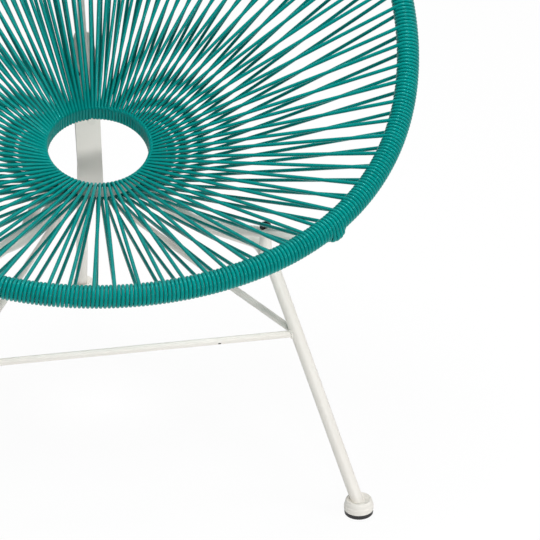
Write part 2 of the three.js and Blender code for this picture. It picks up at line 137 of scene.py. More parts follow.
cordFinish = {
    "teal": (0.0, 0.232, 0.212, 1),
    "deepTeal": (0.0, 0.204, 0.187, 1),
    "gloss": 0.17,
    "glossSpread": 0.08,
    "refraction": 1.4,
    "mirror": 0.27,
    "mirrorTint": (0.22, 1, 0.96, 1),
}


def makeCordTeal():  # extruded plastic cord: even colour, slightly cloudy, with a fine drawn grain
    sheet = Sheet("cordTeal")
    cloud = sheet.spread(sheet.grain(38, 4), 0.32, 0.68)
    fine = sheet.grain(1400, 2, 0.6)
    colour = sheet.blend(cloud, cordFinish["deepTeal"], cordFinish["teal"])
    gloss = cordFinish["gloss"] + cordFinish["glossSpread"] * sheet.spread(sheet.grain(210, 4), 0.35, 0.75)
    sheet.finish(Base_Color=colour, Roughness=gloss, Normal=sheet.bump(fine, 0.02, 0.0002))
    sheet.finish(IOR=cordFinish["refraction"], Specular_IOR_Level=cordFinish["mirror"])
    sheet.finish(Specular_Tint=cordFinish["mirrorTint"])
    return sheet.material


ivoryFinish = {
    "ivory": (0.79, 0.765, 0.715, 1),
    "warmIvory": (0.76, 0.73, 0.67, 1),
    "clouds": 0.55,
    "gloss": 0.44,
    "glossSpread": 0.12,
    "refraction": 1.5,
    "coat": 0.06,
    "coatGloss": 0.3,
}


def makeFrameIvory(name, peel):  # powder coat: orange peel, with faint warmer clouds
    sheet = Sheet(name)
    cloud = sheet.spread(sheet.grain(9, 4), 0.35, 0.7)
    colour = sheet.blend(cloud * ivoryFinish["clouds"], ivoryFinish["ivory"], ivoryFinish["warmIvory"])
    gloss = ivoryFinish["gloss"] + ivoryFinish["glossSpread"] * sheet.spread(sheet.grain(55, 3), 0.3, 0.7)
    orange = sheet.grain(520, 2, 0.45)
    sheet.finish(Base_Color=colour, Roughness=gloss, Normal=sheet.bump(orange, peel, 0.0006))
    sheet.finish(IOR=ivoryFinish["refraction"])
    sheet.finish(Coat_Weight=ivoryFinish["coat"], Coat_Roughness=ivoryFinish["coatGloss"])
    return sheet.material


# on the rubber this colour is random dust; the vent uses the same name for its paler painted shade
rubberFinish = {"black": (0.0075, 0.0075, 0.009, 1), "dust": (0.022, 0.021, 0.021, 1)}


def makePadRubber():
    sheet = Sheet("padRubber")
    dust = sheet.spread(sheet.grain(70, 5), 0.45, 0.8)
    colour = sheet.blend(dust, rubberFinish["black"], rubberFinish["dust"])
    grit = sheet.grain(2300, 3, 0.6)
    sheet.finish(Base_Color=colour, Roughness=0.55 + 0.25 * dust, Normal=sheet.bump(grit, 0.25, 0.0004))
    return sheet.material


boltFinish = {"oxide": (0.012, 0.0115, 0.011, 1), "rubbed": (0.06, 0.056, 0.05, 1)}


def makeBoltBlack():  # black oxide on steel, rubbed a little paler in patches
    sheet = Sheet("boltBlack")
    rubbed = sheet.spread(sheet.grain(420, 5, 0.6), 0.55, 0.8)
    colour = sheet.blend(rubbed, boltFinish["oxide"], boltFinish["rubbed"])
    pits = sheet.grain(3100, 2)
    sheet.finish(Base_Color=colour, Metallic=0.55 + 0.3 * rubbed, Roughness=0.2 + 0.14 * rubbed)
    sheet.finish(Normal=sheet.bump(pits, 0.12, 0.0002))
    return sheet.material


# both vent colours are painted shade, standing in for the shade inside the tube's hollow; noise mottles
# between a deeper and a paler painted shade
ventFinish = {"soot": (0.012, 0.011, 0.01, 1), "dust": (0.03, 0.028, 0.025, 1)}


def makeVentShadow():  # the inside of the vent hole, painted dark as shade
    sheet = Sheet("ventShadow")
    soot = sheet.grain(900, 3)
    colour = sheet.blend(soot, ventFinish["soot"], ventFinish["dust"])
    sheet.finish(Base_Color=colour, Roughness=0.7)
    return sheet.material


cordTeal = makeCordTeal()
frameIvory = makeFrameIvory("frameIvory", 0.03)  # how strong the orange peel is
weldIvory = makeFrameIvory("weldIvory", 0.35)
padRubber = makePadRubber()
boltBlack = makeBoltBlack()
ventShadow = makeVentShadow()
print("materials made")

# Shared makers


def at(x, behindLip, height):
    return Vector((x, behindLip + lipY, height)) * mm


def mirrored(point):
    return Vector((-point.x, point.y, point.z))


tubeSharp = 40  # degrees from which an edge is shown sharp


def shadeByAngle(mesh, degrees=tubeSharp):
    mesh.shade_smooth()
    mesh.set_sharp_from_angle(angle=math.radians(degrees))


def addPiece(name, mesh, material, nodes=()):
    mesh.materials.clear()
    mesh.materials.append(material)
    piece = bpy.data.objects.new(name, mesh)
    bpy.context.scene.collection.objects.link(piece)
    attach(piece, "root")
    if nodes:
        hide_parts(*nodes)
    return piece


def drawMesh(name, runs, sides, closed=False):  # each run is a list of (point, radius)
    curve = bpy.data.curves.new(name, "CURVE")
    curve.dimensions = "3D"
    curve.bevel_depth = 1.0
    curve.bevel_resolution = (sides - 4) // 2
    curve.use_fill_caps = not closed
    for run in runs:
        spline = curve.splines.new("POLY")
        spline.points.add(len(run) - 1)
        for stop, (point, radius) in zip(spline.points, run):
            stop.co = (*point, 1)
            stop.radius = radius
        spline.use_cyclic_u = closed
        spline.use_smooth = True
    holder = bpy.data.objects.new(name, curve)
    bpy.context.scene.collection.objects.link(holder)
    bpy.context.view_layer.update()
    graph = bpy.context.evaluated_depsgraph_get()
    mesh = bpy.data.meshes.new_from_object(holder.evaluated_get(graph))
    bpy.data.objects.remove(holder)
    bpy.data.curves.remove(curve)
    build = bmesh.new()
    build.from_mesh(mesh)
    bmesh.ops.remove_doubles(build, verts=build.verts, dist=1e-7)
    bmesh.ops.recalc_face_normals(build, faces=build.faces)
    build.to_mesh(mesh)
    build.free()
    return mesh


def bentPath(corners, bends, step=0.12):  # straight runs with a round bend of each radius at each inner corner
    path = [corners[0]]
    for i in range(1, len(corners) - 1):
        back = (corners[i - 1] - corners[i]).normalized()
        on = (corners[i + 1] - corners[i]).normalized()
        half = back.angle(on) / 2
        centre = corners[i] + (back + on).normalized() * (bends[i - 1] / math.sin(half))
        start = corners[i] + back * (bends[i - 1] / math.tan(half)) - centre
        axis = -start.cross(back).normalized()
        steps = math.ceil((math.pi - 2 * half) / step)
        for s in range(steps + 1):
            turn = Quaternion(axis, (math.pi - 2 * half) * s / steps)
            path.append(centre + turn @ start)
    path.append(corners[-1])
    return path


def smoothPath(points, steps):  # centripetal curve through the points
    knots = [0.0]
    for a, b in zip(points, points[1:]):
        knots.append(knots[-1] + math.sqrt((b - a).length))
    first = points[0] * 2 - points[1]
    last = points[-1] * 2 - points[-2]
    around = [first, *points, last]
    times = [-math.sqrt((points[1] - points[0]).length), *knots]
    times.append(knots[-1] + math.sqrt((points[-1] - points[-2]).length))
    path = []
    for i in range(steps + 1):
        t = knots[-1] * i / steps
        j = max(k for k in range(len(points) - 1) if knots[k] <= t + 1e-12) + 1
        p, q = around[j - 1:j + 3], times[j - 1:j + 3]
        mix = lambda a, b, ta, tb: a * ((tb - t) / (tb - ta)) + b * ((t - ta) / (tb - ta))
        a1, a2, a3 = mix(p[0], p[1], q[0], q[1]), mix(p[1], p[2], q[1], q[2]), mix(p[2], p[3], q[2], q[3])
        b1, b2 = mix(a1, a2, q[0], q[2]), mix(a2, a3, q[1], q[3])
        path.append(mix(b1, b2, q[1], q[2]))
    return path


def addTube(name, path, radius, nodes, sides=32):
    mesh = drawMesh(name, [[(point, radius) for point in path]], sides)
    shadeByAngle(mesh)
    return addPiece(name, mesh, frameIvory, nodes)


def spun(profile, sides):  # a profile of (radius, height) turned round Z
    build = bmesh.new()
    verts = [build.verts.new((radius * mm, 0, height * mm)) for radius, height in profile]
    edges = [build.edges.new(pair) for pair in zip(verts, verts[1:])]
    bmesh.ops.spin(build, geom=verts + edges, cent=(0, 0, 0), axis=(0, 0, 1),
                   angle=2 * math.pi, steps=sides, use_merge=True)
    bmesh.ops.remove_doubles(build, verts=build.verts, dist=1e-6)
    bmesh.ops.recalc_face_normals(build, faces=build.faces)
    return build


def toMesh(name, build, move=None, degrees=tubeSharp):
    mesh = bpy.data.meshes.new(name)
    if move is not None:
        bmesh.ops.transform(build, matrix=move, verts=build.verts)
    build.to_mesh(mesh)
    build.free()
    shadeByAngle(mesh, degrees)
    return mesh


def standing(point, axis):  # stands a piece drawn along +Z on a point
    return Matrix.Translation(point) @ up.rotation_difference(axis).to_matrix().to_4x4()


def carve(piece, cutter):  # cuts a closed shape out of a piece, and keeps the cutter's finish inside
    modifier = piece.modifiers.new("carve", "BOOLEAN")
    modifier.operation = "DIFFERENCE"
    modifier.solver = "EXACT"
    modifier.material_mode = "TRANSFER"
    modifier.object = cutter
    bpy.context.view_layer.update()
    graph = bpy.context.evaluated_depsgraph_get()
    mesh = bpy.data.meshes.new_from_object(piece.evaluated_get(graph))
    piece.modifiers.remove(modifier)
    old = piece.data
    piece.data = mesh
    bpy.data.meshes.remove(old)
    mesh.set_sharp_from_angle(angle=math.radians(tubeSharp))
    bpy.data.objects.remove(cutter)


# Rim and ring lines

rim = {
    "halfWidth": 382.6,
    "pear": 7.5,
    "halfDepth": 298.4,
    "bluntness": 16.8,
    "lipHeight": 362,
    "riseDepth": 500,
    "straightRise": 160.5,
    "curvedRise": 227.8,
    "hoopRadius": 9.3,
    "hoopSteps": 360,
}
ring = {
    "radius": 70.8,
    "behindLip": 397,
    "height": 361.7,
    "tilt": 21.8,
    "thick": 3,
    "bar": 16.4,
    "edge": 0.8,
    "sides": 180,
}


def rimPoint(angle):  # 0 at the lip, pi at the top of the back
    x = rim["halfWidth"] * math.sin(angle) + rim["pear"] * math.sin(2 * angle)
    y = rim["halfDepth"] * (1 - math.cos(angle)) + rim["bluntness"] * (1 - math.cos(2 * angle))
    back = y / rim["riseDepth"]
    return at(x, y, rim["lipHeight"] + rim["straightRise"] * back + rim["curvedRise"] * back * back)


def ringPoint(turn, out=0.0, rise=0.0):  # 0 at the front, out from the middle of the bar, up along its axis
    reach = ring["radius"] + out
    along = -reach * math.cos(turn)
    tilt = math.radians(ring["tilt"])
    return at(reach * math.sin(turn), ring["behindLip"] + along * math.cos(tilt) - rise * math.sin(tilt),
              ring["height"] + along * math.sin(tilt) + rise * math.cos(tilt))


rimSteps = 1440
rimLengths = [0.0]
for i in range(rimSteps):
    step = rimPoint(2 * math.pi * (i + 1) / rimSteps) - rimPoint(2 * math.pi * i / rimSteps)
    rimLengths.append(rimLengths[-1] + step.length)
rimLength = rimLengths[-1]


def rimAngleAt(length):
    wanted = length % rimLength
    low, high = 0, rimSteps
    while high - low > 1:
        middle = (low + high) // 2
        low, high = (middle, high) if rimLengths[middle] <= wanted else (low, middle)
    part = (wanted - rimLengths[low]) / (rimLengths[low + 1] - rimLengths[low])
    return 2 * math.pi * (low + part) / rimSteps


def rimLengthAt(angle):
    place = angle / (2 * math.pi) * rimSteps
    low = int(place)
    return rimLengths[low] + (rimLengths[low + 1] - rimLengths[low]) * (place - low)


# Arms, spine and base: their lines first, because the cord goes round some of them

arm = {
    "radius": 7,
    "rimAngle": 0.66,
    "underRim": 13.6,
    "endRadius": 4.2,  # the tube's end is squeezed narrower under the winding
    "endRun": 26,
    "endTaper": 0.7,
    "path": [(207, 130, 348), (178, 185, 333), (144, 222, 323), (111, 266, 313), (76, 334, 311)],
    "ringAngle": 0.8,
    "underRing": 7.3,
    "steps": 44,
}
spine = {
    "radius": 5,
    "behindHoop": 15.3,
    "lowPoint": (19.7, -19.8),  # behind and over the ring's back, where the line of the cords passes
    "behindCords": 14.5,
    "footDrop": 14.3,
    "footReach": 38,
    "bend": 11,
}

armPath = smoothPath([
    rimPoint(arm["rimAngle"]) - up * arm["underRim"] * mm,
    *[at(*point) for point in arm["path"]],
    ringPoint(arm["ringAngle"], 0, -ring["bar"] / 2) - up * arm["underRing"] * mm,
], arm["steps"])

ringBack = ringPoint(math.pi)
rimTop = rimPoint(math.pi)
backLow = ringBack + Vector((0, *spine["lowPoint"])) * mm
behind = (rimTop - backLow).normalized().cross(Vector((1, 0, 0))).normalized()
behind = behind if behind.y > 0 else -behind
spineTop = rimTop + behind * spine["behindHoop"] * mm
spineLow = backLow + behind * spine["behindCords"] * mm
spineAhead = (spineTop - spineLow).normalized()


def spineAt(height):
    return spineLow + spineAhead * ((height * mm - spineLow.z) / spineAhead.z)


spineCorner = spineAt(ringBack.z / mm - spine["footDrop"])
spineFoot = spineCorner - Vector((0, spine["footReach"] * mm, 0))
spinePath = bentPath([spineFoot, spineCorner, spineTop], [spine["bend"] * mm])

# Cord: wound round the hoop, and strung in loops between the hoop and the ring

cordPlan = {
    "loops": 90,
    "sectors": 15,
    "turns": 503,
    "stepsPerTurn": 24,
    "sides": 12,
    "rimTurn": 11.9,  # radius at which the cord's middle goes round the hoop
    "ringCorner": 2.35,  # radius of the cord's middle round the bar's edges
    "ringFold": 5,
    "foldSteps": 8,
    "turnSteps": 6,
    "endSteps": 4,
    "rimCord": 2.3,
    "ringCord": 2.3,
    "strandCord": 2.4,
    "ringUpper": 0.75,  # loops by which an upper strand's ring end is ahead of its rim end
    "ringLower": -0.1,
    "frontPull": 2.6,  # loops by which the lower strands at the sides lean to the front
    "frontSpread": 0.12,
    "weldReach": 3,  # turns on each side of an arm that pass over its end
    "spineReach": 2,
    "leaves": 0.25,  # share of a turn between facing the ring and lying on top of the rim
    "easeSteps": 6,  # over which the strand's thickness becomes the winding's
}
cordPitch = rimLength / cordPlan["turns"]


def ringTurnAt(loop, under=0.0):  # where loop number's strand meets the ring, over (0) or under (1) it
    turn = 2 * math.pi * loop / cordPlan["loops"]
    lower = cordPlan["ringLower"] - cordPlan["frontPull"] * math.sin(turn)
    shift = cordPlan["ringUpper"] * (1 - under) + lower * under
    turn += 2 * math.pi * shift / cordPlan["loops"]
    return turn + cordPlan["frontSpread"] * math.sin(turn)


def rimFrame(length):
    angle = rimAngleAt(length)
    centre = rimPoint(angle)
    ahead = (rimPoint(angle + 0.001) - rimPoint(angle - 0.001)).normalized()
    inward = ringPoint(ringTurnAt(length / rimLength * cordPlan["loops"])) - centre
    inward = (inward - ahead * inward.dot(ahead)).normalized()
    return centre, ahead, inward, ahead.cross(inward)


def ringWay(loop):  # the cord's way over the bar's inner top edge, down its inside and back under it
    over, under = ringTurnAt(loop), ringTurnAt(loop, 1.0)
    corner, half, high = cordPlan["ringCorner"], ring["thick"] / 2, ring["bar"] / 2
    rimEnd = rimPoint(rimAngleAt(loop / cordPlan["loops"] * rimLength))
    leans = []
    for turn in (over, under):  # how steeply the strand leaves the ring
        strand = rimEnd - ringPoint(turn)
        out, axis = ringPoint(turn, 1) - ringPoint(turn), ringPoint(turn, 0, 1) - ringPoint(turn)
        leans.append(math.atan2(strand.dot(axis), strand.dot(out)))
    section = []
    soft = cordPlan["ringFold"]
    for i in range(cordPlan["foldSteps"] + 1):  # a stiff cord folds more softly than the bar's edge
        turn = leans[0] + (math.pi / 2 - leans[0]) * i / cordPlan["foldSteps"]
        section.append((soft - corner - half - soft * math.sin(turn), high + soft * math.cos(turn)))
    for i in range(cordPlan["turnSteps"] + 1):
        turn = math.pi / 2 * (1 - i / cordPlan["turnSteps"])
        section.append((-half - corner * math.sin(turn), -high - corner * math.cos(turn)))
    for i in range(cordPlan["endSteps"] + 1):
        turn = leans[1] * i / cordPlan["endSteps"]
        section.append((half + corner * math.sin(turn), -high - corner * math.cos(turn)))
    last = len(section) - 1
    return [ringPoint(over + (under - over) * i / last, *corner) for i, corner in enumerate(section)]


# Ends of the arms and of the spine, which the winding goes over: place along the rim, offset, radius and reach
armBump = {"outward": 5, "drop": 11, "radius": 7.6, "reach": 18}
spineBump = {"radius": 7.3, "reach": 10}
bumps = []
for side in (1, -1):
    angle = arm["rimAngle"] if side == 1 else 2 * math.pi - arm["rimAngle"]
    outward = -rimFrame(rimLengthAt(angle))[2]
    bumpOffset = (outward * armBump["outward"] - up * armBump["drop"]) * mm
    bumps.append((rimLengthAt(angle), bumpOffset, armBump["radius"] * mm, armBump["reach"] * mm))
bumpOffset = behind * spine["behindHoop"] * mm
bumps.append((rimLengthAt(math.pi), bumpOffset, spineBump["radius"] * mm, spineBump["reach"] * mm))


def woundPoint(length, turn):  # a point of the winding: turn 0 faces the ring, 90 degrees is on top
    centre, ahead, inward, rise = rimFrame(length)
    direction = inward * math.cos(turn) + rise * math.sin(turn)
    best = direction * cordPlan["rimTurn"] * mm
    reach = cordPlan["rimTurn"] * mm
    for place, offset, radius, half in bumps:
        away = (length - place + rimLength / 2) % rimLength - rimLength / 2
        if abs(away) >= half:
            continue
        shrunk = math.sqrt(half * half - away * away) - (half - radius)
        if shrunk <= 0:
            continue
        side = offset - ahead * offset.dot(ahead)
        if side.dot(direction) + shrunk > reach:
            reach = side.dot(direction) + shrunk
            best = side + direction * shrunk
    return centre + best


def rimTurnOfLoop(loop):  # whole turn at which a loop leaves the rim, kept clear of the arms' and spine's ends
    number = round(loop * cordPlan["turns"] / cordPlan["loops"])
    for i, (place, *_) in enumerate(bumps):
        clear = cordPlan["weldReach"] if i < 2 else cordPlan["spineReach"]
        middle = place / cordPitch
        if abs(number - middle) < clear:
            number = math.ceil(middle + clear) if number >= middle else math.floor(middle - clear)
    return number


def layCord():  # the whole cord as one list of (point, radius), with the places where a sector ends
    plan = cordPlan
    route, ends = [], []
    leaves, ease = plan["leaves"], plan["easeSteps"]
    loops = [rimTurnOfLoop(k) for k in range(plan["loops"])]
    perSector = plan["loops"] // plan["sectors"]
    thick, thin, snug = plan["rimCord"] * mm, plan["strandCord"] * mm, plan["ringCord"] * mm
    for k in range(-1, plan["loops"]):
        leave = loops[k] if k >= 0 else loops[-1] - plan["turns"]
        arrive = loops[k + 1] if k + 1 < plan["loops"] else loops[0] + plan["turns"]
        split = leave + (arrive - leave) // 2 if (k + 1) % perSector == 0 else None
        first, last = leave + leaves, arrive - leaves
        count = round((last - first) * plan["stepsPerTurn"])
        for i in range(count + 1):
            place = first + (last - first) * i / count
            turn = -2 * math.pi * (place - leave)
            if split is not None and abs(place - (split + leaves)) < 1e-6:
                ends.append(len(route))
            if k == -1 and place < split + leaves - 1e-6:
                continue
            if k == plan["loops"] - 1 and place > split + leaves + 1e-6:
                continue
            wound = min(1, i / ease, (count - i) / ease)
            route.append((woundPoint(place * cordPitch, turn), thin + (thick - thin) * wound))
        if k + 1 == plan["loops"]:
            break
        route += [(point, snug) for point in ringWay(k + 1)]
    return route, ends


def makeCords():
    route, ends = layCord()
    for s in range(cordPlan["sectors"]):
        run = route[ends[s]:ends[s + 1] + 1]
        name = f"cordSector{s + 1:02d}"
        mesh = drawMesh(name, [run], cordPlan["sides"])
        shadeByAngle(mesh, 70)
        nodes = [f"cord_sector_{s + 1:02d}"]
        if s % 5 == 2:
            nodes.append(f"ring_winding_{s // 5 + 1}")
        addPiece(name, mesh, cordTeal, nodes)
    length = sum((b[0] - a[0]).length for a, b in zip(route, route[1:]))
    print(f"cord laid: {len(route)} points, {length:.1f} m")


makeCords()


def makeHoops():
    steps = rim["hoopSteps"]
    hoop = [(rimPoint(2 * math.pi * i / steps), rim["hoopRadius"] * mm) for i in range(steps)]
    mesh = drawMesh("rimHoop", [hoop], 20, closed=True)
    mesh.shade_smooth()
    addPiece("rimHoop", mesh, frameIvory, ["rim_hoop"])
    out, high, edge = ring["thick"] / 2, ring["bar"] / 2, ring["edge"]
    profile = []
    for sideX, sideZ, start in ((1, 1, 0), (-1, 1, 1), (-1, -1, 2), (1, -1, 3)):  # flat bar with eased edges
        for i in range(4):
            turn = math.pi / 2 * (start + i / 3)
            profile.append((ring["radius"] + sideX * (out - edge) + edge * math.cos(turn),
                            sideZ * (high - edge) + edge * math.sin(turn)))
    place = Matrix.Translation(at(0, ring["behindLip"], ring["height"]))
    place = place @ Matrix.Rotation(math.radians(ring["tilt"]), 4, "X")
    band = toMesh("ringBand", spun([*profile, profile[0]], ring["sides"]), place, 50)
    addPiece("ringBand", band, frameIvory, ["ring_band"])


makeHoops()
print("hoop and ring made")

# Base tubes

base = {
    "radius": 8,
    "legFoot": (273, 39, 0),
    "legTop": (185, 166, 297),
    "legBend": 22,
    "legToBowWeld": 30,
    "bowCorners": [(178, 226, 298), (104, 352, 276), (68, 504, 251)],
    "bowBends": [60, 120, 28],
    "rearFoot": (0, 695, 0),
    "rearStretcherEnd": (0, 607, 216),
    "seatHeight": 12,  # where the tubes stand on their pads
    "rearTop": 408,
    "stretcherRadius": 4.5,
    "stretcherHeight": 216,
}
strap = {
    "top": 470,
    "thick": 5,
    "boltHeight": 420,
    "behindSpine": 5.3,  # the tab's front face, behind the spine's middle
    "behindTab": 3.3,
    "intoLeg": 0.4,
}


def onLine(low, high, height):
    return low.lerp(high, (height * mm - low.z) / (high.z - low.z))


legFoot, legTop = at(*base["legFoot"]), at(*base["legTop"])
rearFoot, rearEnd = at(*base["rearFoot"]), at(*base["rearStretcherEnd"])
bowCorners = [at(*corner) for corner in base["bowCorners"]]
bowSide = (bowCorners[0] - legTop).normalized()
bowStart = legTop + bowSide * base["legToBowWeld"] * mm
footTop = onLine(legFoot, legTop, base["seatHeight"])
rearSeat = onLine(rearFoot, rearEnd, base["seatHeight"])
frontJoint = onLine(legFoot, legTop, base["stretcherHeight"])
tabFront = spineAt(strap["boltHeight"]) + behind * strap["behindSpine"] * mm
strapFront = tabFront + behind * strap["behindTab"] * mm


def makeBase():
    half = [bowStart, *bowCorners]
    bends = [bend * mm for bend in base["bowBends"]]
    bowPath = bentPath([*half, *[mirrored(p) for p in reversed(half)]], [*bends, *reversed(bends)])
    addTube("seatBow", bowPath, base["radius"] * mm, ["seat_bow"])
    for name, side in (("right", lambda p: p.copy()), ("left", mirrored)):
        label = name.capitalize()
        leg = bentPath([side(footTop), side(legTop), side(bowStart)], [base["legBend"] * mm])
        addTube(f"frontLeg{label}", leg, base["radius"] * mm, [f"front_leg_{name}"])
        run = []
        for point in armPath:
            narrow = max(0, 1 - (point - armPath[0]).length / (arm["endRun"] * mm))
            radius = arm["radius"] + (arm["endRadius"] - arm["radius"]) * narrow ** arm["endTaper"]
            run.append((side(point), radius * mm))
        mesh = drawMesh(f"arm{label}", [run], 32)
        shadeByAngle(mesh)
        addPiece(f"arm{label}", mesh, frameIvory, [f"arm_{name}"])
        stretcher = [side(frontJoint), rearEnd]
        addTube(f"stretcher{label}", stretcher, base["stretcherRadius"] * mm, [f"stretcher_{name}"], 24)
    addTube("spine", spinePath, spine["radius"] * mm, ["spine"], 24)


makeBase()


def makeRearLeg():  # cut off along the strap's back and level under the bolts
    top = onLine(rearFoot, rearEnd, strap["top"])
    mesh = drawMesh("rearLeg", [[(rearSeat, base["radius"] * mm), (top, base["radius"] * mm)]], 32)
    build = bmesh.new()
    build.from_mesh(mesh)
    strapBack = strapFront + behind * (strap["thick"] - strap["intoLeg"]) * mm
    for point, normal in ((strapBack, -behind), (at(0, 0, base["rearTop"]), up)):
        cutLine = bmesh.ops.bisect_plane(build, geom=[*build.verts, *build.edges, *build.faces], dist=1e-6,
                                         plane_co=point, plane_no=normal, clear_outer=True)
        edges = [e for e in cutLine["geom_cut"] if isinstance(e, bmesh.types.BMEdge)]
        bmesh.ops.contextual_create(build, geom=edges)
    bmesh.ops.recalc_face_normals(build, faces=build.faces)
    build.to_mesh(mesh)
    build.free()
    shadeByAngle(mesh)
    addPiece("rearLeg", mesh, frameIvory, ["rear_leg"])


makeRearLeg()

vent = {
    "across": 111,
    "length": 4,
    "width": 2.4,
    "depth": 3,
    "ahead": 64,  # degrees from straight down to the front
}


def makeFrontStretcher():
    path = [(mirrored(frontJoint), base["stretcherRadius"] * mm), (frontJoint, base["stretcherRadius"] * mm)]
    mesh = drawMesh("stretcherFront", [path], 24)
    shadeByAngle(mesh)
    piece = addPiece("stretcherFront", mesh, frameIvory, ["stretcher_front"])
    build = bmesh.new()
    bmesh.ops.create_cone(build, cap_ends=True, segments=20, radius1=mm, radius2=mm,
                          depth=2 * vent["depth"] * mm)
    bmesh.ops.scale(build, vec=(vent["length"] / 2, vent["width"] / 2, 1), verts=build.verts)
    turned = Matrix.Rotation(math.radians(vent["ahead"]), 4, "X").inverted()
    place = Vector((vent["across"] * mm, frontJoint.y, frontJoint.z))
    place += turned @ Vector((0, 0, -base["stretcherRadius"] * mm))
    cutterMesh = toMesh("ventCutter", build, Matrix.Translation(place) @ turned)
    # the vent's inside takes this painted shade
    cutterMesh.materials.append(ventShadow)
    cutter = bpy.data.objects.new("ventCutter", cutterMesh)
    bpy.context.scene.collection.objects.link(cutter)
    carve(piece, cutter)


makeFrontStretcher()
print("base tubes made")

# Strap and tab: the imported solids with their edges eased

easedEdges = {"back_strap": 0.7, "spine_tab": 0.6}


def makeEasedPlates():
    for node, ease in easedEdges.items():
        name = node.split("_")[0] + node.split("_")[1].capitalize()
        build = bmesh.new()
        build.from_mesh(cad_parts[node].data)
        bmesh.ops.remove_doubles(build, verts=build.verts, dist=2e-5)
        bmesh.ops.dissolve_limit(build, angle_limit=math.radians(1), verts=build.verts, edges=build.edges)
        bmesh.ops.recalc_face_normals(build, faces=build.faces)
        sharp = [e for e in build.edges if len(e.link_faces) == 2 and e.calc_face_angle() > math.radians(35)]
        bmesh.ops.bevel(build, geom=sharp, offset=ease * mm, affect="EDGES", segments=3, profile=0.5,
                        material=-1, clamp_overlap=True)
        mesh = toMesh(name, build)
        addPiece(name, mesh, frameIvory, [node])


makeEasedPlates()

# Feet

foot = {
    # profiles of (radius, height)
    "cup": [
        (0, 9.2), (14.6, 9.2), (16.2, 8.9), (16.5, 6.8), (16.9, 6.2), (17.9, 6.2), (18.4, 6.8), (18.5, 8.0),
        (18.5, 12.4), (18.25, 13.4), (17.85, 13.9), (17.65, 14.6), (17.45, 16.2), (16.95, 18.4),
        (16.25, 20.2), (15.6, 20.9), (15.0, 21.1), (14.3, 20.8), (12.6, 19.6), (10.8, 18.6),
        (9.4, 18.0), (8.6, 17.2), (0, 17),
    ],
    "pad": [
        (0, 0.1), (9, 0.1), (9.6, 0.6), (10.6, 0.6), (11.2, 0), (15.6, 0), (17.0, 0.35), (17.8, 1.2),
        (18.0, 2.4), (18.0, 5.6), (17.6, 6.0), (16.2, 6.1), (16.2, 8), (0, 8),
    ],
    "sides": 56,
}


def makeFeet():
    feet = (("front_right", footTop), ("front_left", mirrored(footTop)), ("rear", rearSeat))
    for name, seat in feet:
        label = "".join(word.capitalize() for word in name.split("_"))
        place = Matrix.Translation((seat.x, seat.y, 0))
        cup = toMesh(f"footCup{label}", spun(foot["cup"], foot["sides"]), place, 32)
        addPiece(f"footCup{label}", cup, frameIvory, [f"foot_cup_{name}"])
        pad = toMesh(f"footPad{label}", spun(foot["pad"], foot["sides"]), place, 32)
        addPiece(f"footPad{label}", pad, padRubber, [f"foot_pad_{name}"])


makeFeet()
print("feet made")

# Fasteners, drawn standing on their seats along +Z

frontBolt = {"shank": 4, "head": 7.1, "headHeight": 4.6, "socket": 5.4, "socketDepth": 2.2}
rearBolt = {"shank": 2.5, "head": 4.2, "headHeight": 3.6, "socket": 3, "socketDepth": 1.8}
saddle = {"outer": 7.2, "bore": 4.3, "rise": 0.9, "deep": 1.7, "ease": 0.5}
frontNut = {"across": 13, "height": 6.5}
rearNut = {"across": 8, "height": 4}
fitting = {"gap": 0.3, "proud": 2, "boltAcross": 11, "tabThick": 3, "nutEase": 0.45}
spacerShape = {"radius": 7.5, "end": 3}


def boltMesh(name, bolt, grip, place):
    head, high, shank = bolt["head"], bolt["headHeight"], bolt["shank"]
    profile = [(0, -grip), (shank - 0.7, -grip), (shank, 0.7 - grip), (shank, 0), (head - 0.4, 0),
               (head, 0.35), (head, high * 0.22)]
    for i in range(1, 8):  # the domed top of a button head
        turn = math.pi / 2 * i / 8
        profile.append((head * (0.52 + 0.48 * math.cos(turn)), high * (0.22 + 0.78 * math.sin(turn))))
    profile += [(head * 0.5, high), (0, high)]
    return toMesh(name, spun(profile, 36), place)


def addBolt(name, node, bolt, grip, place):
    piece = addPiece(name, boltMesh(name, bolt, grip, place), boltBlack, [node])
    build = bmesh.new()  # hexagon socket in the head
    across = bolt["socket"] / 2 / math.cos(math.pi / 6) * mm
    bmesh.ops.create_cone(build, cap_ends=True, segments=6, radius1=across, radius2=across,
                          depth=2 * bolt["socketDepth"] * mm)
    bmesh.ops.translate(build, vec=(0, 0, bolt["headHeight"] * mm), verts=build.verts)
    cutterMesh = toMesh("socketCutter", build, place)
    cutterMesh.materials.append(boltBlack)
    cutter = bpy.data.objects.new("socketCutter", cutterMesh)
    bpy.context.scene.collection.objects.link(cutter)
    carve(piece, cutter)


def addNut(name, node, nut, place):
    build = bmesh.new()
    corner = nut["across"] / 2 / math.cos(math.pi / 6) * mm
    bmesh.ops.create_cone(build, cap_ends=True, segments=6, radius1=corner, radius2=corner,
                          depth=nut["height"] * mm)
    bmesh.ops.translate(build, vec=(0, 0, nut["height"] / 2 * mm), verts=build.verts)
    bmesh.ops.bevel(build, geom=build.edges[:], offset=fitting["nutEase"] * mm, affect="EDGES", segments=2,
                    profile=0.5, material=-1)
    addPiece(name, toMesh(name, build, place, 30), boltBlack, [node])


